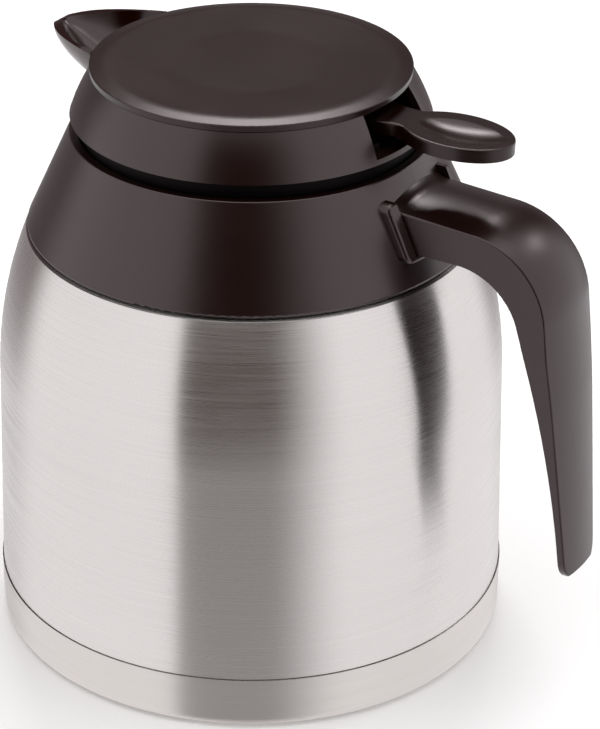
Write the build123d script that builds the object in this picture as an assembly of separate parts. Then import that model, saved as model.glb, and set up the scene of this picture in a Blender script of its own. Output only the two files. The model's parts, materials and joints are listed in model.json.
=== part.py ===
from build123d import *
import os
from math import cos, radians, sin, sqrt, tan

# Vacuum carafe with a screw-in lid, a thumb lever and a spring-loaded pouring valve.
# Millimetres. The origin is the centre of the underside, +Z is up, the handle and the
# lever point to +X and the spout to -X. Turned pieces are drawn as (radius, height).

# Steel body
BASE_R = 69.2            # widest radius, at the top of the base cup
SEAM_Z = 15.0            # height of the dark seam between base cup and shell
SHELL_LOW_R = 68.9       # the shell's side just above the seam
WALL = 0.8               # sheet thickness of every steel wall
TAPER_TOP_R = 67.5       # the shell's side tapers to this radius
TAPER_TOP_Z = 71.0
SHOULDER_ARC = 112.0     # radius of the shoulder's outline
SHELL_FOOT_R = 67.4      # the shell steps in to this radius inside the base cup
JACKET_Z = 6.5           # underside of the shell's closing disc
LINER_R = 63.6           # outside of the inner flask
LINER_FLOOR_Z = 12.0
NECK_R = 43.0            # outside of the flask's neck
LIP_Z = 137.2            # top of the welded lip

# Collar, a cone that carries the handle
COLLAR_LOW_R, COLLAR_LOW_Z = 59.1, 114.2
COLLAR_TOP_R, COLLAR_TOP_Z = 47.0, 140.7
COLLAR_WALL = 2.2        # measured level, not square to the cone
COLLAR_BORE_R = 44.7
SOCKET_RISE = 2.8        # how far the handle socket stands off the cone
SOCKET_LIP = 3.4         # the socket's rim beside the arm
SOCKET_LOW_Z = 121.0

# Threaded neck insert, the black band under the lid
INSERT_R = 42.1
BAND_R = 44.4
INSERT_TOP_Z = 144.7
INSERT_LOW_Z = 121.0
THREAD_ROOT_R = 39.3
THREAD_CREST_R = 38.4
THREAD_STEP = 4.0

# Handle
HANDLE_W = 12.5          # half width of the arm
TIP_W = 8.0              # half width at the free end
ARM_TOP_Z = 135.5
ARM_LOW_Z = 123.2
TIP_X, TIP_Z = 100.9, 39.3
COVER_DEPTH, COVER_LOW_Z = 1.4, 66.0   # strip on the inside of the grip
CROWN_DROP = 1.9         # how far the handle's outer face falls away at its edges
SCREW_X, SCREW_Y, SCREW_Z = 50.2, 6.5, 128.6   # seats of the two screws behind the socket

# Lid
RING_LOW_R, RING_LOW_Z = 46.8, 145.0
RING_TOP_R, RING_TOP_Z = 41.1, 156.5
RING_WALL = 2.0
RING_FLOOR_TOP = 146.2
NOTCH_HALF_ANGLE = 16.0  # opening in the ring that the lever passes through
DISC_R, DISC_TOP_Z = 41.5, 159.0
STOPPER_R = 36.9
STOPPER_BORE_R = 34.6
STOPPER_LOW_Z = 121.0
STOPPER_TOP_Z = 148.2
PORT_R = 11.0            # pouring port in the stopper's floor
LID_SCREW_R = 40.0       # circle of the four lid screws

# Lever and valve
PIVOT_X, PIVOT_Z = 33.5, 150.0
PIN_R = 1.5
RUNNING_GAP = 0.05
FORK_Z = 144.5           # height of the fork's round tips under the stem clip
FORK_TIP_R = 1.5
LEVER_LOW_Z, LEVER_TOP_Z = 150.2, 153.7
PADDLE_X = 60.1
PADDLE_A, PADDLE_B = 15.0, 10.3
PADDLE_DROOP = 1.2       # degrees that the blade slopes down towards its tip
STEM_R = 2.0
GUIDE_LOW_Z, GUIDE_TOP_Z = 139.5, 142.0
PLUG_LOW_Z, PLUG_TOP_Z = 124.5, 126.5
SPRING_COIL_R, SPRING_WIRE_R = 5.2, 0.45

XZ = Plane((0, 0, 0), x_dir=(1, 0, 0), z_dir=(0, -1, 0))


def save(shape, node):
    export_step(shape, f"parts/{node}.step")


def turned(*edges):
    """A full turn of a closed outline drawn as (radius, height)."""
    return revolve(XZ * make_face(Curve() + list(edges)), Axis.Z, 360)


def turned_points(points, radii=0.0):
    """A full turn of a closed polygon, each corner rounded by its radius."""
    return turned(*FilletPolyline(*points, radius=radii, close=True).edges())


def tube(inner_r, outer_r, low_z, top_z):
    return Pos(0, 0, low_z) * extrude(Circle(outer_r) - Circle(inner_r), top_z - low_z)


def rod(radius, low_z, top_z):
    return Pos(0, 0, low_z) * extrude(Circle(radius), top_z - low_z)


def rod_along_x(radius, start_x, end_x, y, z):
    return Pos(start_x, y, z) * (Rot(0, 90, 0) * extrude(Circle(radius), end_x - start_x))


def rod_along_y(radius, half_length, x, z):
    return Pos(x, -half_length, z) * (Rot(-90, 0, 0) * extrude(Circle(radius), 2 * half_length))


def block(low, high):
    size = [b - a for a, b in zip(low, high)]
    middle = [(a + b) / 2 for a, b in zip(low, high)]
    return Pos(*middle) * Box(*size)


def side_slab(outline, half_width):
    """A face drawn as (x, z), made thick to both sides of the middle plane."""
    return extrude(XZ * outline, half_width, both=True)


def shoulder_r(z):
    """Radius of the shell's outside on the shoulder."""
    return TAPER_TOP_R - SHOULDER_ARC + sqrt(SHOULDER_ARC**2 - (z - TAPER_TOP_Z)**2)


def collar_r(z):
    """Radius of the collar's outside."""
    share = (z - COLLAR_LOW_Z) / (COLLAR_TOP_Z - COLLAR_LOW_Z)
    return COLLAR_LOW_R + share * (COLLAR_TOP_R - COLLAR_LOW_R)


def collar_cone(gap):
    """Everything inside the collar's outer cone, grown level by a gap."""
    low_z, top_z = COLLAR_LOW_Z - 10, COLLAR_TOP_Z + 8
    points = [(0, low_z), (collar_r(low_z) + gap, low_z), (collar_r(top_z) + gap, top_z), (0, top_z)]
    return turned_points(points)


# ---------------------------------------------------------------- steel body

def shell_outline(inset):
    """One side of the outer shell's wall, from its foot to the lip."""
    step_z = SEAM_Z + 0.12 + inset
    joggle_z = COLLAR_LOW_Z - 0.5 - 0.9 * inset
    arc_end = (shoulder_r(joggle_z) - inset, joggle_z)
    side_low = (SHELL_LOW_R - inset, step_z)
    side_top = (TAPER_TOP_R - inset, TAPER_TOP_Z)
    mid_z = (TAPER_TOP_Z + joggle_z) / 2
    neck_r = NECK_R + 0.9 - inset
    under_collar = [arc_end, (56.8 - inset, joggle_z + 0.5), (neck_r, 131.5), (neck_r, LIP_Z)]
    return [
        Line((SHELL_FOOT_R - inset, JACKET_Z), (SHELL_FOOT_R - inset, step_z)),
        Line((SHELL_FOOT_R - inset, step_z), side_low),
        Line(side_low, side_top),
        ThreePointArc(side_top, (shoulder_r(mid_z) - inset, mid_z), arc_end),
        *FilletPolyline(*under_collar, radius=[0, 6.0]).edges(),
    ]


def make_outer_shell():
    outside = shell_outline(0)
    inside = shell_outline(WALL)
    foot = Line((SHELL_FOOT_R - WALL, JACKET_Z), (SHELL_FOOT_R, JACKET_Z))
    lip = Line((NECK_R + 0.9, LIP_Z), (NECK_R + 0.1, LIP_Z))
    save(turned(*outside, lip, *inside, foot), "outer_shell")


def liner_side(inset):
    """One side of the flask's wall, from the axis to the lip."""
    radius = LINER_R - inset
    floor_z = LINER_FLOOR_Z + inset
    points = [(0, floor_z), (radius, floor_z), (radius, 88 - inset), (NECK_R - inset, 121 - inset),
              (NECK_R - inset, LIP_Z)]
    return FilletPolyline(*points, radius=[14 - inset, 26 - inset, 4 + inset])


def make_inner_liner():
    lip = Line((NECK_R, LIP_Z), (NECK_R - WALL, LIP_Z))
    axis = Line((0, LINER_FLOOR_Z + WALL), (0, LINER_FLOOR_Z))
    save(turned(*liner_side(0).edges(), lip, *liner_side(WALL).edges(), axis), "inner_liner")


def make_jacket_base():
    edge_r = SHELL_FOOT_R - WALL
    dome = [(0, JACKET_Z + 1.5), (18, JACKET_Z + 1.5), (24, JACKET_Z), (edge_r, JACKET_Z),
            (edge_r, JACKET_Z + WALL), (24, JACKET_Z + WALL), (18, JACKET_Z + 1.5 + WALL),
            (0, JACKET_Z + 1.5 + WALL)]
    save(turned_points(dome), "jacket_base")


def make_vacuum_tip():
    low_z = JACKET_Z - 1.5
    cap = [(0, low_z), (6, low_z), (6, JACKET_Z + 1.5), (0, JACKET_Z + 1.5)]
    save(turned_points(cap, [0, 1.2, 0, 0]), "vacuum_tip")


def make_base_cup():
    foot_z, side_r = 0.5, BASE_R - 0.1
    top_z = SEAM_Z - 0.14
    outside = [(0, foot_z + 1.2), (46, foot_z + 1.2), (50, foot_z), (side_r, foot_z), (BASE_R, top_z)]
    inside = [(BASE_R - WALL, top_z), (side_r - WALL, foot_z + WALL), (50, foot_z + WALL),
              (46, foot_z + 1.2 + WALL), (0, foot_z + 1.2 + WALL)]
    radii = [0, 2, 2, 2.2, 0, 0, 1.4, 2, 2, 0]
    save(turned_points(outside + inside, radii), "base_cup")


def make_foot_ring():
    save(turned_points([(53, 0), (61, 0), (61, 0.5), (53, 0.5)]), "foot_ring")


def make_seam_ring():
    save(tube(SHELL_FOOT_R + 0.1, BASE_R - 0.6, SEAM_Z - 0.14, SEAM_Z + 0.1), "seam_ring")


# ---------------------------------------------------------- collar and handle

def socket_prism(grow, low_z, top_z, corner_r):
    """A bar along X with the socket's rounded outline."""
    start_x, end_x = 40, 90
    plane = Plane((start_x, 0, (low_z + top_z) / 2), x_dir=(0, 1, 0), z_dir=(1, 0, 0))
    outline = RectangleRounded(2 * (HANDLE_W + grow), top_z - low_z, corner_r)
    return extrude(plane * outline, end_x - start_x)


def make_collar():
    outside = [(COLLAR_LOW_R - COLLAR_WALL, COLLAR_LOW_Z + 0.4), (COLLAR_LOW_R, COLLAR_LOW_Z),
               (COLLAR_TOP_R, COLLAR_TOP_Z), (COLLAR_BORE_R, COLLAR_TOP_Z), (COLLAR_BORE_R, LIP_Z + 0.4)]
    collar = turned_points(outside, [0, 0.7, 0.5, 0.3, 0])
    boss = socket_prism(SOCKET_LIP, SOCKET_LOW_Z, ARM_TOP_Z + 0.6, 2.2) & collar_cone(SOCKET_RISE)
    rim = [e for e in boss.edges() if e.center().X > 50 and e.center().X > collar_r(e.center().Z) + 0.6]
    boss = fillet(rim, 1.1)
    boss -= socket_prism(0.3, ARM_LOW_Z - 0.3, ARM_TOP_Z + 6, 0.2) - collar_cone(0)
    collar += boss
    collar -= collar_cone(-COLLAR_WALL) & rod(80, 100, COLLAR_TOP_Z - 3.3)
    collar -= rod(COLLAR_BORE_R, 100, 160)
    return collar


def handle_outline(drop):
    """The handle's side view, its outer line lowered by the crown's drop."""
    inside = [
        ThreePointArc((98.2, TIP_Z), (93.4, 76), (84.8, 110)),
        TangentArc((84.8, 110), (66.2, ARM_LOW_Z), tangent=(-0.28, 0.96)),
        Line((66.2, ARM_LOW_Z), (44, ARM_LOW_Z)),
    ]
    outer = [
        (46 - drop, 139.5 - drop),
        (50.3 - drop / 2, 135.2 - drop),
        (92 - drop, 133 - drop),
        (96.6 - drop, 90),
        (TIP_X - drop, TIP_Z + 1),
    ]
    outside = FilletPolyline(*outer, radius=[6, 24 - drop, 200]).edges()
    ends = [Line((44, ARM_LOW_Z), (46 - drop, 139.5 - drop)), Line((TIP_X - drop, TIP_Z + 1), (98.2, TIP_Z))]
    return make_face(Curve() + [*inside, ends[0], *outside, ends[1]])


def crowned_bar():
    """The handle's side view carried across its width under a crowned outer face."""
    reach = HANDLE_W + 0.5
    sections = []
    for share in (-1, -0.5, 0, 0.5, 1):
        plane = Plane((0, share * reach, 0), x_dir=(1, 0, 0), z_dir=(0, -1, 0))
        sections.append(plane * handle_outline(CROWN_DROP * share**2))
    return loft(sections)


def handle_front():
    """The handle's front view: parallel arm, grip narrowing to a round end."""
    top_z = ARM_TOP_Z + 10
    right = [(HANDLE_W, top_z), (HANDLE_W, 103), (TIP_W, TIP_Z - 1)]
    left = [(-y, z) for y, z in reversed(right)]
    outline = FilletPolyline(*right, *left, radius=[0, 60, 6.5, 6.5, 60, 0], close=True)
    plane = Plane((40, 0, 0), x_dir=(0, 1, 0), z_dir=(1, 0, 0))
    return extrude(plane * make_face(outline), 80)


def on_outer_line(point):
    """Whether a point lies on the outer or upper side of the handle, clear of its tip."""
    return point.Z > 128 or point.X > 93 + (100 - point.Z) * 0.07 and point.Z > TIP_Z + 6


def make_handle():
    """The arm and grip in one moulding, with a pocket for the inner cover."""
    bar = crowned_bar() & handle_front()
    edges = [e for e in bar.edges() if e.length > 5 and abs(e.center().Y) > 5]
    bar = fillet([e for e in edges if on_outer_line(e.center())], 0.5)
    return bar - collar_cone(0.1)


def cover_strip(bar, gap):
    """The thin strip let into the inside of the grip, with a gap all round for its pocket."""
    deep = COVER_DEPTH + gap
    skin = bar - Pos(deep, 0, deep) * bar
    wide, narrow = HANDLE_W - 5 + gap, HANDLE_W - 8.5 + gap
    start_x, end_x = 60 - gap, 110
    corners = [(start_x, -wide), (start_x, wide), (end_x, narrow), (end_x, -narrow)]
    plan = make_face(Polyline(*corners, close=True))
    column = Pos(0, 0, COVER_LOW_Z - gap) * extrude(plan, ARM_LOW_Z + 10 - COVER_LOW_Z)
    return skin & column


def make_handle_pieces(collar):
    bar = make_handle()
    strip = cover_strip(bar, 0.0)
    bar = bar - cover_strip(bar, 0.15)
    for y in (-SCREW_Y, SCREW_Y):
        collar -= rod_along_x(2.5, 44, SCREW_X + 0.05, y, SCREW_Z) + rod_along_x(1.7, 44, 58, y, SCREW_Z)
        bar -= rod_along_x(1.62, 44, 63, y, SCREW_Z)
    save(largest(collar), "collar")
    save(largest(bar), "handle")
    save(largest(strip), "handle_cover")
    save(handle_screws(), "handle_screws")


def handle_screws():
    screws = []
    for y in (-SCREW_Y, SCREW_Y):
        head = rod_along_x(2.2, SCREW_X - 1.1, SCREW_X, y, SCREW_Z)
        slot = block((SCREW_X - 1.2, y - 1.7, SCREW_Z - 0.3), (SCREW_X - 0.6, y + 1.7, SCREW_Z + 0.3))
        screws.append(head + rod_along_x(1.6, SCREW_X - 0.1, 62.5, y, SCREW_Z) - slot)
    return Compound(children=screws)


def largest(shape):
    return sorted(shape.solids(), key=lambda s: s.volume)[-1]


# -------------------------------------------------------- neck insert and lid

def thread_lugs(root_r, crest_r, first_z, start_angle):
    """Three short starts of thread, each stepping round and up like a screw."""
    depth = 0.3 if root_r < crest_r else -0.3
    lugs = []
    for start in range(3):
        for step in range(4):
            z = first_z + step * THREAD_STEP
            profile = [(root_r - depth, z - 0.9), (crest_r, z - 0.35), (crest_r, z + 0.35),
                       (root_r - depth, z + 0.9)]
            lug = revolve(XZ * make_face(Polyline(*profile, close=True)), Axis.Z, 62)
            lugs.append(Rot(0, 0, start_angle + 120 * start + 28 * step) * lug)
    return lugs


def make_neck_insert():
    points = [(THREAD_ROOT_R, 125), (THREAD_ROOT_R, INSERT_TOP_Z), (BAND_R, INSERT_TOP_Z),
              (BAND_R, LIP_Z + 1.8), (INSERT_R, LIP_Z + 1.8), (INSERT_R, INSERT_LOW_Z),
              (THREAD_CREST_R, INSERT_LOW_Z), (THREAD_CREST_R, 124)]
    insert = turned_points(points, [0, 0.5, 0.5, 0, 0, 0.6, 0.6, 0])
    for lug in thread_lugs(THREAD_ROOT_R, THREAD_CREST_R, 127, 0):
        insert += lug
    save(insert, "neck_insert")
    save(tube(INSERT_R + 0.1, BAND_R, LIP_Z, LIP_Z + 1.8), "neck_gasket")


def lid_screw_places():
    angles = [radians(45 + 90 * i) for i in range(4)]
    return [(LID_SCREW_R * cos(a), LID_SCREW_R * sin(a)) for a in angles]


def lid_screw_holes():
    holes = [Pos(x, y, 0) * rod(1.15, 140, 150) for x, y in lid_screw_places()]
    return Part() + holes


def spout_section(x, half_width, low_z, top_z):
    """A trough's cross-section: flat top, half ellipse below."""
    plane = Plane((x, 0, top_z), x_dir=(0, 1, 0), z_dir=(1, 0, 0))
    depth = top_z - low_z
    bowl = EllipticalCenterArc((0, 0), half_width, depth, start_angle=180, arc_size=180)
    rim = Line((half_width, 0), (-half_width, 0))
    return plane * make_face(Curve() + [bowl, rim])


def spout_loft(inset):
    """The spout's outer hull, or with an inset its hollow, open at the top."""
    lift = 4 if inset else 0
    stations = [(-36, 18.3, 145.4, 158.4), (-42, 16.2, 146.2, 158.4), (-48, 13.3, 148.4, 158.4),
                (-53.5, 9.8, 151.5, 158.3), (-57.2, 6.3, 154.2, 158.1), (-59.5, 3.2, 156.2, 157.8)]
    faces = []
    for x, half_width, low_z, top_z in stations:
        shift = inset if x < -50 else 0
        low = max(low_z + inset, RING_FLOOR_TOP) if inset else low_z
        faces.append(spout_section(x + shift, half_width - inset * 0.9, low, top_z + lift))
    return loft(faces)


def ring_wall(inset):
    """The pour ring's leaning outer line, from foot to top."""
    low, top = (RING_LOW_R - inset, RING_LOW_Z), (RING_TOP_R - inset, RING_TOP_Z)
    middle = ((low[0] + top[0]) / 2 + 0.45, (low[1] + top[1]) / 2)
    return low, middle, top


def make_pour_ring():
    low, middle, top = ring_wall(0)
    in_low, in_middle, in_top = ring_wall(RING_WALL)
    hole_r = STOPPER_R + 0.1
    chamber = turned(Line((0, RING_FLOOR_TOP), (in_low[0], RING_FLOOR_TOP)),
                     ThreePointArc((in_low[0], RING_FLOOR_TOP), in_middle, in_top),
                     Line(in_top, (in_top[0], 162)), Line((in_top[0], 162), (0, 162)),
                     Line((0, 162), (0, RING_FLOOR_TOP)))
    solid = turned(Line((0, RING_LOW_Z), low), ThreePointArc(low, middle, top), Line(top, (0, top[1])),
                   Line((0, top[1]), (0, RING_LOW_Z)))
    ring = solid + spout_loft(0)
    ring = ring - chamber - (spout_loft(1.3) - rod(30, 140, 170)) - rod(hole_r, 140, 150)
    reach = 60
    side = reach * tan(radians(NOTCH_HALF_ANGLE))
    wedge = make_face(Polyline((0, 0), (reach, -side), (reach, side), close=True))
    ring -= Pos(0, 0, RING_FLOOR_TOP) * extrude(wedge, 20)
    ring -= lid_screw_holes() + rod(DISC_R + 0.15, RING_TOP_Z, 170)
    save(largest(ring), "pour_ring")


def make_lid_disc():
    """The cover: a flat centre in a soft crown, a crisp rim and a skirt that plugs into the ring."""
    crown_r, crown_z, rim_z = 37.6, DISC_TOP_Z, DISC_TOP_Z - 0.62
    flat_r, flat_z = 20.5, DISC_TOP_Z - 0.4
    gap_r, gap_z, seat_z = 40.7, RING_TOP_Z + 0.24, RING_TOP_Z + 0.02
    skirt_r, skirt_z, under_z = 38.8, RING_TOP_Z - 1.6, DISC_TOP_Z - 2.0
    outline = [(0, flat_z), (flat_r, flat_z), (crown_r, crown_z), (DISC_R, rim_z), (DISC_R - 0.15, gap_z),
               (gap_r, gap_z), (gap_r, seat_z), (skirt_r, seat_z), (skirt_r, skirt_z),
               (skirt_r - 1.4, skirt_z), (skirt_r - 1.4, under_z), (0, under_z)]
    disc = turned_points(outline, [0, 0, 11, 0.25, 0, 0, 0, 0, 0, 0, 0, 0])
    disc -= block((-60, -15, 150), (-30, 15, seat_z))
    save(disc, "lid_disc")


def make_stopper():
    wall = STOPPER_BORE_R
    outline = [(PORT_R, STOPPER_LOW_Z), (STOPPER_R - 0.4, STOPPER_LOW_Z), (STOPPER_R - 0.4, 122.2),
               (35.2, 122.2), (35.2, 125.4), (STOPPER_R, 125.4), (STOPPER_R, RING_FLOOR_TOP),
               (42.6, RING_FLOOR_TOP), (42.6, STOPPER_TOP_Z), (wall, STOPPER_TOP_Z), (wall, 124),
               (PORT_R + 2.4, 123), (PORT_R + 1.6, 123.8), (PORT_R, 123.8)]
    stopper = turned_points(outline, [0.4, 0.5, 0, 0, 0, 0, 0, 0, 0, 0, 3, 0, 0.3, 0.3])
    for lug in thread_lugs(STOPPER_R, 38.1, 129, 40):
        stopper += lug
    for y in (-8.7, 8.7):
        ear = [(30.2, 146.5), (37.2, 146.5), (37.2, 150.2), (33.6, 153.6), (30.2, 150.2)]
        ear_line = FilletPolyline(*ear, radius=[0, 0, 3, 3, 3], close=True)
        stopper += Pos(0, y, 0) * side_slab(make_face(ear_line), 1.5)
    stopper -= block((28, -7.0, 146.3), (44, 7.0, 160))
    stopper -= block((-44, -11, 146.4), (-30, 11, 160))
    stopper -= rod_along_y(PIN_R + 0.01, 12, PIVOT_X, PIVOT_Z)
    stopper -= lid_screw_holes()
    save(largest(stopper), "stopper")
    seal = [(35.4, 122.4), (36.8, 122.4), (38.1, 123.4), (38.1, 124.2), (36.8, 125.2), (35.4, 125.2)]
    save(turned_points(seal), "stopper_seal")


def make_lid_screws():
    screw = rod(2.1, STOPPER_TOP_Z, STOPPER_TOP_Z + 1.4) + rod(1.1, RING_LOW_Z + 0.1, STOPPER_TOP_Z + 0.5)
    screw -= block((-1.6, -0.3, STOPPER_TOP_Z + 0.8), (1.6, 0.3, STOPPER_TOP_Z + 2))
    save(Compound(children=[Pos(x, y, 0) * screw for x, y in lid_screw_places()]), "lid_screws")


def make_lever_pin():
    save(rod_along_y(PIN_R, 11.2, PIVOT_X, PIVOT_Z), "lever_pin")


def make_lever():
    """Stem and paddle outside the lid, hub on the pin, forked arm to the valve stem."""
    half = [(33, 6.5), (38, 6.5), (50, 4.7)]
    stem = make_face(Polyline(*half, *[(x, -y) for x, y in reversed(half)], close=True))
    plan = stem + Pos(PADDLE_X, 0) * Ellipse(PADDLE_A, PADDLE_B)
    plan = fillet([v for v in plan.vertices() if 44 < v.X < 54], 5)
    blade = Pos(0, 0, LEVER_LOW_Z) * extrude(plan, LEVER_TOP_Z - LEVER_LOW_Z)
    blade = fillet(blade.faces().sort_by(Axis.Z)[-1].edges(), 0.5)
    dish_arc_r, dish_up, dish_depth = 46.0, 12.0, 1.4
    dish_r = dish_up + dish_depth
    reach = sqrt(dish_arc_r**2 - (dish_arc_r - dish_r)**2)
    bow = ThreePointArc((-reach, 0), (0, dish_r), (reach, 0))
    spindle = make_face(Curve() + [bow, Line((reach, 0), (-reach, 0))])
    blade -= Pos(PADDLE_X + 1, 0, LEVER_TOP_Z + dish_up) * revolve(spindle, Axis.X, 360)
    blade = Pos(PIVOT_X, 0, PIVOT_Z) * Rot(0, PADDLE_DROOP, 0) * Pos(-PIVOT_X, 0, -PIVOT_Z) * blade
    hub = rod_along_y(3.0, 6.4, PIVOT_X, PIVOT_Z)
    arm = [(PIVOT_X, 153), (5.5, FORK_Z + 0.9), (0, FORK_Z), (5.5, FORK_Z - 1.4), (PIVOT_X, 147.1)]
    beam = side_slab(make_face(Polyline(*arm, close=True)), 4.6)
    beam += rod_along_y(FORK_TIP_R, 4.6, 0, FORK_Z)
    beam -= block((-4, -2.6, 140), (7.5, 2.6, 150))
    lever = blade + hub + beam - rod_along_y(PIN_R + RUNNING_GAP, 12, PIVOT_X, PIVOT_Z)
    save(largest(lever), "lever")


def make_valve_guide():
    guide = tube(32.4, STOPPER_BORE_R - 0.05, GUIDE_LOW_Z, GUIDE_TOP_Z)
    guide += tube(STEM_R + RUNNING_GAP, 4.6, GUIDE_LOW_Z, GUIDE_TOP_Z)
    for angle in (60, 180, 300):
        guide += Rot(0, 0, angle) * block((4, -1.4, GUIDE_LOW_Z), (33.5, 1.4, GUIDE_TOP_Z))
    save(guide, "valve_guide")


def make_valve():
    """Stem, stem clip, plug and face seal, which rise together."""
    clip_z = FORK_Z + FORK_TIP_R + 0.3
    stem = turned_points([(0, PLUG_LOW_Z), (STEM_R, PLUG_LOW_Z), (STEM_R, clip_z), (STEM_R - 0.5, clip_z),
                          (STEM_R - 0.5, clip_z + 1.0), (STEM_R, clip_z + 1.0), (STEM_R, clip_z + 1.8),
                          (0, clip_z + 1.8)], [0, 0, 0, 0, 0, 0, 0.4, 0])
    save(stem, "valve_stem")
    save(tube(STEM_R - 0.5, 4.4, clip_z, clip_z + 1.0), "stem_clip")
    plug = turned_points([(STEM_R, PLUG_LOW_Z), (14, PLUG_LOW_Z), (14, PLUG_TOP_Z - 0.8), (8, PLUG_TOP_Z),
                          (4.3, PLUG_TOP_Z), (4.3, PLUG_TOP_Z + 1.6), (STEM_R, PLUG_TOP_Z + 1.6)],
                         [0, 0.4, 0.8, 2, 0, 0.4, 0])
    save(plug, "valve_plug")
    save(tube(10.2, 13.6, PLUG_LOW_Z - 0.5, PLUG_LOW_Z), "valve_seal")


def make_valve_spring():
    low_z, top_z = PLUG_TOP_Z + 0.6, GUIDE_LOW_Z - 0.6
    path = Pos(0, 0, low_z) * Helix(pitch=(top_z - low_z) / 5, height=top_z - low_z, radius=SPRING_COIL_R)
    start = Plane(origin=path @ 0, z_dir=path % 0)
    save(sweep(start * Circle(SPRING_WIRE_R), path=path, is_frenet=True), "valve_spring")


def main():
    os.makedirs("parts", exist_ok=True)
    make_outer_shell()
    make_inner_liner()
    make_jacket_base()
    make_vacuum_tip()
    make_base_cup()
    make_foot_ring()
    make_seam_ring()
    make_neck_insert()
    make_handle_pieces(make_collar())
    make_pour_ring()
    make_lid_disc()
    make_stopper()
    make_lid_screws()
    make_lever_pin()
    make_lever()
    make_valve_guide()
    make_valve()
    make_valve_spring()


main()
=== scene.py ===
import json
import math

import bpy
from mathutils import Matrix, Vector


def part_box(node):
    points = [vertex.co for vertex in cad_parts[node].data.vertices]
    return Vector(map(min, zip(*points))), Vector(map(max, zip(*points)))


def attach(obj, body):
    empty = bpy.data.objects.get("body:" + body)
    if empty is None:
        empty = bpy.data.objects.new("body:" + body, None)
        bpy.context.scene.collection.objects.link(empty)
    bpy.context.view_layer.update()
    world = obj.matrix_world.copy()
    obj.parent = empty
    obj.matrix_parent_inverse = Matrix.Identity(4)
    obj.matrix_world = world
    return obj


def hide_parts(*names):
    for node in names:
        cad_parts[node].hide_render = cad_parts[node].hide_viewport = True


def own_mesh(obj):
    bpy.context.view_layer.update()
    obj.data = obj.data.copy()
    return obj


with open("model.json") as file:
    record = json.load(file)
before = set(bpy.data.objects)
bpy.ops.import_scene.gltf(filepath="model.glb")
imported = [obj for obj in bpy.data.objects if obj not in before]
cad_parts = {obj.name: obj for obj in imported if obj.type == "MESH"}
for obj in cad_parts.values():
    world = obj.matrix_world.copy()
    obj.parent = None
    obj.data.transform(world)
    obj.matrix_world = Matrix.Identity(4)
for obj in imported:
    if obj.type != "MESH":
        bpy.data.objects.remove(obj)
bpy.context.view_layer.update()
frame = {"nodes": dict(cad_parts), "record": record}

NODES = frame["nodes"]

# Camera, in the row's frame: azimuth from the -Y side towards the handle
CAMERA_AZIMUTH = math.radians(32.0)
CAMERA_ELEVATION = math.radians(28.74)
CAMERA_DISTANCE = 0.770
CAMERA_TARGET = Vector((0, 0, 0.063))
CAMERA_LENS = 140.12
CAMERA_SHIFT = (0.0669, 0.0336)

# Studio: directions are angles about +Z from +X, in degrees
DARK_SECTOR = (-90.5, -51.0, -14.0)    # middle of its sharp edge, start and end of its soft edge
SHARP_EDGE = 0.025                     # half the width of that sharp edge, in radians
BACK_SECTOR = (131.0, 42.0, 64.0)      # middle, and how far it is full and clear to both sides
WORLD_BRIGHT = (1.14, 1.115, 1.12)
WORLD_DARK = (0.026, 0.006, 0.0)
WORLD_BACK = (0.090, 0.055, 0.060)
FLOOR_HALF = 12.0
BACKDROP_RADIUS, BACKDROP_HEIGHT, BACKDROP_SIDES = 11.5, 9.0, 96
LIGHT_DISTANCE = 1.6
LIGHT_AIM = Vector((0, 0, 0.14))

# Plastics: colour, depth of the eroded grain, and where the smooth spout begins, in metres
BROWN = (0.0060, 0.0008, 0.0002)
GRAIN = 0.00001
SPOUT_EASE_X = (-0.0415, -0.0445)
SPOUT_EASE_Z = (0.1435, 0.1450)
SPOUT_SMOOTHER = -0.17

# Return spring of the valve
SPRING_WIRE_R = 0.00045
SPRING_TURNS, SPRING_STEPS, SPRING_SIDES = 7, 40, 14


# ------------------------------------------------------------------ materials

class Tree:
    """A short way to add nodes to one node tree, and to link them."""

    def __init__(self, owner):
        owner.use_nodes = True
        self.tree = owner.node_tree
        self.tree.nodes.clear()

    def new(self, kind, **settings):
        node = self.tree.nodes.new(kind)
        for key, value in settings.items():
            setattr(node, key, value)
        return node

    def link(self, source, output, target, entry):
        self.tree.links.new(source.outputs[output], target.inputs[entry])

    def map_range(self, source, output, ends, **settings):
        """A Map Range node; ends are From Min, From Max, To Min and To Max."""
        node = self.new("ShaderNodeMapRange", **settings)
        for key, value in zip(("From Min", "From Max", "To Min", "To Max"), ends):
            node.inputs[key].default_value = value
        self.link(source, output, node, "Value")
        return node

    def product(self, *sources):
        """The first outputs of all the sources, multiplied together."""
        node = sources[0]
        for other in sources[1:]:
            both = self.new("ShaderNodeMath", operation="MULTIPLY")
            self.link(node, 0, both, 0)
            self.link(other, 0, both, 1)
            node = both
        return node


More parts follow.
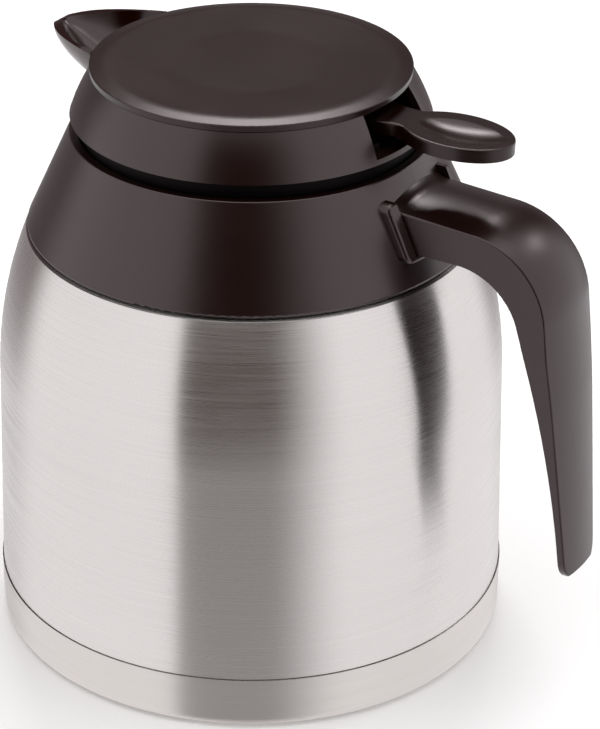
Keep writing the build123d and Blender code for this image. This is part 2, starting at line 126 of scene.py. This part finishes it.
class Nodes(Tree):
    """One material's node tree, with its Principled shader and object coordinates."""

    def __init__(self, name):
        self.material = bpy.data.materials.new(name)
        super().__init__(self.material)
        self.out = self.new("ShaderNodeOutputMaterial")
        self.shader = self.new("ShaderNodeBsdfPrincipled")
        self.link(self.shader, "BSDF", self.out, "Surface")
        self.place = self.new("ShaderNodeTexCoord")

    def put(self, **values):
        for key, value in values.items():
            self.shader.inputs[key.replace("_", " ")].default_value = value

    def stretched(self, scale):
        """Object coordinates scaled by three factors."""
        mapping = self.new("ShaderNodeMapping")
        mapping.inputs["Scale"].default_value = scale
        self.link(self.place, "Object", mapping, "Vector")
        return mapping

    def noise(self, scale, detail=4.0, roughness=0.6):
        """Noise over object coordinates, stretched by a different factor on each axis."""
        node = self.new("ShaderNodeTexNoise")
        node.inputs["Scale"].default_value = 1.0
        node.inputs["Detail"].default_value = detail
        node.inputs["Roughness"].default_value = roughness
        self.link(self.stretched(scale), "Vector", node, "Vector")
        return node

    def ranged(self, source, output, low, high, start=0.3, end=0.7):
        return self.map_range(source, output, (start, end, low, high))

    def mixed(self, factor, output, dark, light):
        node = self.new("ShaderNodeMix", data_type="RGBA")
        node.inputs["A"].default_value = (*dark, 1)
        node.inputs["B"].default_value = (*light, 1)
        self.link(factor, output, node, "Factor")
        return node

    def bump(self, source, output, distance, strength=1.0, below=None):
        node = self.new("ShaderNodeBump")
        node.inputs["Distance"].default_value = distance
        node.inputs["Strength"].default_value = strength
        self.link(source, output, node, "Height")
        if below is not None:
            self.link(below, "Normal", node, "Normal")
        return node


def brushed_steel(name, colour, roughness, grain):
    """Stainless steel brushed round the body: long level scratches that smear light upright."""
    n = Nodes(name)
    fine = n.noise((30, 30, 7000 * grain), detail=3)
    coarse = n.noise((9, 9, 2400 * grain), detail=5, roughness=0.7)
    patches = n.noise((22, 22, 30), detail=2)
    tone = n.mixed(n.ranged(coarse, "Fac", 0, 1), "Result", [c * 0.95 for c in colour], colour)
    rough = n.ranged(fine, "Fac", roughness - 0.05, roughness + 0.05)
    n.link(tone, "Result", n.shader, "Base Color")
    worn = n.new("ShaderNodeMath", operation="MULTIPLY_ADD")
    worn.inputs[1].default_value = 0.10
    n.link(patches, "Fac", worn, 0)
    n.link(rough, "Result", worn, 2)
    n.link(worn, "Value", n.shader, "Roughness")
    tangent = n.new("ShaderNodeTangent", direction_type="RADIAL", axis="Z")
    n.link(tangent, "Tangent", n.shader, "Tangent")
    scratches = n.bump(fine, "Fac", 0.00001, 0.32)
    n.link(n.bump(coarse, "Fac", 0.00001, 0.22, scratches), "Normal", n.shader, "Normal")
    n.put(Metallic=1.0, Anisotropic=0.95, Anisotropic_Rotation=0.25)
    return n.material


def moulded_plastic(name, colour, roughness, grain_depth, ior, polished_spout=False):
    """Injection-moulded plastic with a fine eroded texture and slight flow marks."""
    n = Nodes(name)
    grain = n.noise((2600, 2600, 2600), detail=2)
    flow = n.noise((45, 45, 60), detail=3)
    tone = n.mixed(n.ranged(flow, "Fac", 0, 1), "Result", colour, [c * 1.35 for c in colour])
    n.link(tone, "Result", n.shader, "Base Color")
    rough = n.ranged(flow, "Fac", roughness - 0.015, roughness + 0.02)
    if polished_spout:
        rough = polish_spout(n, rough)
    n.link(rough, 0, n.shader, "Roughness")
    n.link(n.bump(grain, "Fac", grain_depth, 0.6), "Normal", n.shader, "Normal")
    n.put(IOR=ior, Specular_Tint=(1.0, 0.85, 0.88, 1))
    return n.material


def polish_spout(n, rough):
    """Lowers the roughness on the spout, which is moulded with a smoother surface."""
    place = n.new("ShaderNodeSeparateXYZ")
    n.link(n.place, "Object", place, "Vector")
    mask = n.product(
        n.ranged(place, "X", 0, 1, *SPOUT_EASE_X),
        n.ranged(place, "Z", 0, 1, *SPOUT_EASE_Z),
    )
    lowered = n.new("ShaderNodeMath", operation="MULTIPLY_ADD")
    lowered.inputs[1].default_value = SPOUT_SMOOTHER
    n.link(mask, "Value", lowered, 0)
    n.link(rough, "Result", lowered, 2)
    return lowered


def plain_steel(name, roughness):
    """Drawn or turned steel for the flask and the hidden fittings."""
    n = Nodes(name)
    marks = n.noise((500, 500, 900), detail=4)
    tone = n.mixed(n.ranged(marks, "Fac", 0, 1), "Result", (0.50, 0.49, 0.48), (0.64, 0.63, 0.62))
    n.link(tone, "Result", n.shader, "Base Color")
    n.link(n.ranged(marks, "Fac", roughness - 0.05, roughness + 0.07), "Result", n.shader, "Roughness")
    n.link(n.bump(marks, "Fac", 0.00002, 0.5), "Normal", n.shader, "Normal")
    n.put(Metallic=1.0)
    return n.material


def rubbery(name, colour, roughness):
    """Silicone and rubber: soft sheen, faint mould texture."""
    n = Nodes(name)
    dust = n.noise((300, 300, 300), detail=4)
    tone = n.mixed(n.ranged(dust, "Fac", 0, 1), "Result", colour, [min(c * 1.25, 1) for c in colour])
    n.link(tone, "Result", n.shader, "Base Color")
    n.link(n.ranged(dust, "Fac", roughness - 0.08, roughness + 0.08), "Result", n.shader, "Roughness")
    n.link(n.bump(dust, "Fac", 0.00003, 0.5), "Normal", n.shader, "Normal")
    n.put(IOR=1.42)
    return n.material


# Each plastic's index of refraction is chosen for how strongly it shines, not measured
MATERIALS = {
    "brushed_shell": brushed_steel("brushed_shell", (0.67, 0.65, 0.64), 0.23, 1.0),
    "brushed_base": brushed_steel("brushed_base", (0.655, 0.63, 0.61), 0.27, 0.8),
    "liner_steel": plain_steel("liner_steel", 0.32),
    "hardware_steel": plain_steel("hardware_steel", 0.28),
    "satin_plastic": moulded_plastic("satin_plastic", BROWN, 0.29, GRAIN, 1.70, polished_spout=True),
    "satin_plastic_shaded_disc": moulded_plastic("satin_plastic_shaded_disc", BROWN, 0.29, GRAIN, 1.51),
    "satin_plastic_shaded_grip": moulded_plastic("satin_plastic_shaded_grip", BROWN, 0.29, GRAIN, 1.60),
    "lever_plastic": moulded_plastic("lever_plastic", (0.0048, 0.0010, 0.0003), 0.25, 0.6 * GRAIN, 1.48),
    # The black plastic's low index of refraction takes the shine off the neck band between the pour ring
    # and the collar, so that it reads nearly black: painted shade of that recess, on a part that is black
    # itself
    "black_plastic": moulded_plastic("black_plastic", (0.0016, 0.0012, 0.0012), 0.45, GRAIN, 1.16),
    "silicone": rubbery("silicone", (0.42, 0.42, 0.41), 0.5),
    "foot_rubber": rubbery("foot_rubber", (0.02, 0.02, 0.02), 0.6),
    "seam_black": rubbery("seam_black", (0.006, 0.006, 0.006), 0.55),
}

# The disc and the handle take copies of the satin plastic with less shine: painted shade, which makes
# them render darker than the collar and the pour ring
SHADED_SATIN = {
    "lid_disc": "satin_plastic_shaded_disc",
    "handle": "satin_plastic_shaded_grip",
    "handle_cover": "satin_plastic_shaded_grip",
}


def finish_cad_nodes():
    """Every CAD node takes the procedural material of its slot, or that slot's copy with less shine,
    which is painted shade.
    """
    slots = {s["node"]: s["material_slot"] for s in frame["record"]["subparts"]}
    for name, obj in NODES.items():
        obj.data.materials.clear()
        obj.data.materials.append(MATERIALS[SHADED_SATIN.get(name, slots[name])])


# --------------------------------------------------------------------- spring

def linked_mesh(name, points, faces, material):
    """A new mesh object in the scene."""
    mesh = bpy.data.meshes.new(name)
    mesh.from_pydata(points, [], faces)
    mesh.materials.append(material)
    obj = bpy.data.objects.new(name, mesh)
    bpy.context.scene.collection.objects.link(obj)
    return obj


def spring_level(turn, low_z, high_z):
    """Height of the wire's middle after so many turns: the first and last turn lie closed."""
    wire = SPRING_WIRE_R
    open_turns = SPRING_TURNS - 2
    rise = (high_z - low_z - 6 * wire) / open_turns
    closed = min(turn, 1) + max(turn - SPRING_TURNS + 1, 0)
    return low_z + wire + 2 * wire * closed + rise * min(max(turn - 1, 0), open_turns)


def make_spring():
    """The valve's return spring: a coil with closed ends, attached to the valve."""
    low, high = (Vector(corner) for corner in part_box("valve_spring"))
    sides = SPRING_SIDES
    rings = SPRING_TURNS * SPRING_STEPS
    points = []
    for step in range(rings + 1):
        turn = step / SPRING_STEPS
        angle = math.tau * turn
        level = spring_level(turn, low.z, high.z)
        for side in range(sides):
            around = math.tau * side / sides
            radius = high.x - SPRING_WIRE_R + SPRING_WIRE_R * math.cos(around)
            height = level + SPRING_WIRE_R * math.sin(around)
            points.append((radius * math.cos(angle), radius * math.sin(angle), height))
    last = len(points) - 1
    faces = [tuple(range(sides)), tuple(range(last, last - sides, -1))]
    for ring in range(0, rings * sides, sides):
        for side in range(sides):
            beside = (side + 1) % sides
            faces.append((ring + side, ring + sides + side, ring + sides + beside, ring + beside))
    spring = linked_mesh("return_spring", points, faces, MATERIALS["hardware_steel"])
    spring.data.shade_smooth()
    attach(spring, "valve")
    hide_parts("valve_spring")
    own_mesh(spring)


# ---------------------------------------------------------------------- stage

def make_floor():
    """A pale matt floor, left out of reflections so that the steel shows only the studio."""
    n = Nodes("floor")
    tone = n.noise((3, 3, 3), detail=2)
    n.link(n.mixed(tone, "Fac", (0.94, 0.94, 0.94), (0.96, 0.96, 0.96)), "Result", n.shader, "Base Color")
    n.put(Roughness=0.9)
    half = FLOOR_HALF
    corners = [(-half, -half, 0), (half, -half, 0), (half, half, 0), (-half, half, 0)]
    floor = linked_mesh("floor", corners, [(0, 1, 2, 3)], n.material)
    floor.visible_glossy = False


def make_backdrop():
    """A pale curved wall behind the floor, which only the camera sees, so that low views stay plain."""
    corners = []
    for index in range(BACKDROP_SIDES):
        angle = math.tau * index / BACKDROP_SIDES
        for level in (0.0, BACKDROP_HEIGHT):
            corners.append((BACKDROP_RADIUS * math.cos(angle), BACKDROP_RADIUS * math.sin(angle), level))
    count = len(corners)
    faces = [(i, (i + 2) % count, (i + 3) % count, i + 1) for i in range(0, count, 2)]
    n = Nodes("backdrop")
    tone = n.mixed(n.noise((0.3, 0.3, 0.3), detail=2), "Fac", (0.88, 0.88, 0.88), (0.92, 0.92, 0.92))
    n.link(tone, "Result", n.shader, "Emission Color")
    n.put(Base_Color=(0, 0, 0, 1), Roughness=1.0, Emission_Strength=1.0, Specular_IOR_Level=0.0)
    backdrop = linked_mesh("backdrop", corners, faces, n.material)
    backdrop.visible_diffuse = False
    backdrop.visible_glossy = False
    backdrop.visible_transmission = False
    backdrop.visible_shadow = False


def make_world():
    """A white studio with one dark sector in front, which the steel shows as its dark band, and one
    behind. The limits along Z are sines of the elevation."""
    world = bpy.data.worlds.new("studio")
    bpy.context.scene.world = world
    w = Tree(world)
    place = w.new("ShaderNodeTexCoord")

    def eased(source, output, start, end, low, high):
        return w.map_range(source, output, (start, end, low, high), interpolation_type="SMOOTHSTEP")

    def split(source, output):
        node = w.new("ShaderNodeSeparateXYZ")
        w.link(source, output, node, "Vector")
        return node

    def azimuth(axes):
        node = w.new("ShaderNodeMath", operation="ARCTAN2")
        w.link(axes, "Y", node, 0)
        w.link(axes, "X", node, 1)
        return node

    axes = split(place, "Generated")
    angle = azimuth(axes)
    sharp, fade_start, fade_end = (math.radians(a) for a in DARK_SECTOR)
    front = w.product(
        eased(angle, "Value", sharp - SHARP_EDGE, sharp + SHARP_EDGE, 0, 1),
        eased(angle, "Value", fade_start, fade_end, 1, 0),
        eased(axes, "Z", -0.62, -0.40, 0.35, 1),
        eased(axes, "Z", -0.45, -0.05, 0.93, 1),
        eased(axes, "Z", 0.55, 0.9, 1, 0),
    )
    middle, full, clear = (math.radians(a) for a in BACK_SECTOR)
    turned = w.new("ShaderNodeVectorRotate", rotation_type="Z_AXIS")
    turned.inputs["Angle"].default_value = -middle
    w.link(place, "Generated", turned, "Vector")
    off_middle = w.new("ShaderNodeMath", operation="ABSOLUTE")
    w.link(azimuth(split(turned, "Vector")), "Value", off_middle, 0)
    behind = w.product(
        eased(off_middle, "Value", full, clear, 1, 0),
        eased(axes, "Z", -0.43, -0.29, 0, 1),
        eased(axes, "Z", 0.05, 0.32, 0.82, 1),
        eased(axes, "Z", 0.75, 0.98, 1, 0.3),
    )
    sky = w.new("ShaderNodeMix", data_type="RGBA")
    sky.inputs["A"].default_value = (*WORLD_BRIGHT, 1)
    sky.inputs["B"].default_value = (*WORLD_BACK, 1)
    w.link(behind, 0, sky, "Factor")
    studio = w.new("ShaderNodeMix", data_type="RGBA")
    studio.inputs["B"].default_value = (*WORLD_DARK, 1)
    w.link(sky, "Result", studio, "A")
    w.link(front, 0, studio, "Factor")
    light = w.new("ShaderNodeBackground")
    w.link(studio, "Result", light, "Color")
    w.link(light, 0, w.new("ShaderNodeOutputWorld"), "Surface")


def direction(azimuth, elevation):
    """Unit vector at these angles, in radians, the azimuth from +X."""
    level = math.cos(elevation)
    return Vector((math.cos(azimuth) * level, math.sin(azimuth) * level, math.sin(elevation)))


def make_softbox(name, azimuth, elevation, size, radiance):
    """A rectangular light aimed at the lid; the angles in degrees, the azimuth from +X."""
    away = direction(math.radians(azimuth), math.radians(elevation))
    data = bpy.data.lights.new(name, "AREA")
    data.shape = "RECTANGLE"
    data.size, data.size_y = size
    data.energy = radiance * math.pi * size[0] * size[1]
    light = bpy.data.objects.new(name, data)
    bpy.context.scene.collection.objects.link(light)
    light.location = LIGHT_AIM + away * LIGHT_DISTANCE
    light.rotation_euler = (-away).to_track_quat("-Z", "Y").to_euler()


def make_camera():
    """The camera that shows the object as a long lens on a tripod would."""
    data = bpy.data.cameras.new("camera")
    camera = bpy.data.objects.new("camera", data)
    bpy.context.scene.collection.objects.link(camera)
    away = direction(CAMERA_AZIMUTH - math.radians(90), CAMERA_ELEVATION)
    camera.location = CAMERA_TARGET + away * CAMERA_DISTANCE
    camera.rotation_euler = (-away).to_track_quat("-Z", "Y").to_euler()
    data.lens = CAMERA_LENS
    data.sensor_width = 36.0
    data.shift_x, data.shift_y = CAMERA_SHIFT
    data.clip_start = 0.01
    bpy.context.scene.camera = camera


make_camera()
make_world()
make_softbox("back_softbox", 122, 48, (0.66, 0.30), 13.5)
make_softbox("side_softbox", 62, 36, (0.34, 0.26), 4.0)
make_softbox("overhead", 0, 90, (1.6, 1.6), 1.0)
make_floor()
make_backdrop()
finish_cad_nodes()
make_spring()
bpy.context.scene.view_settings.view_transform = "Standard"
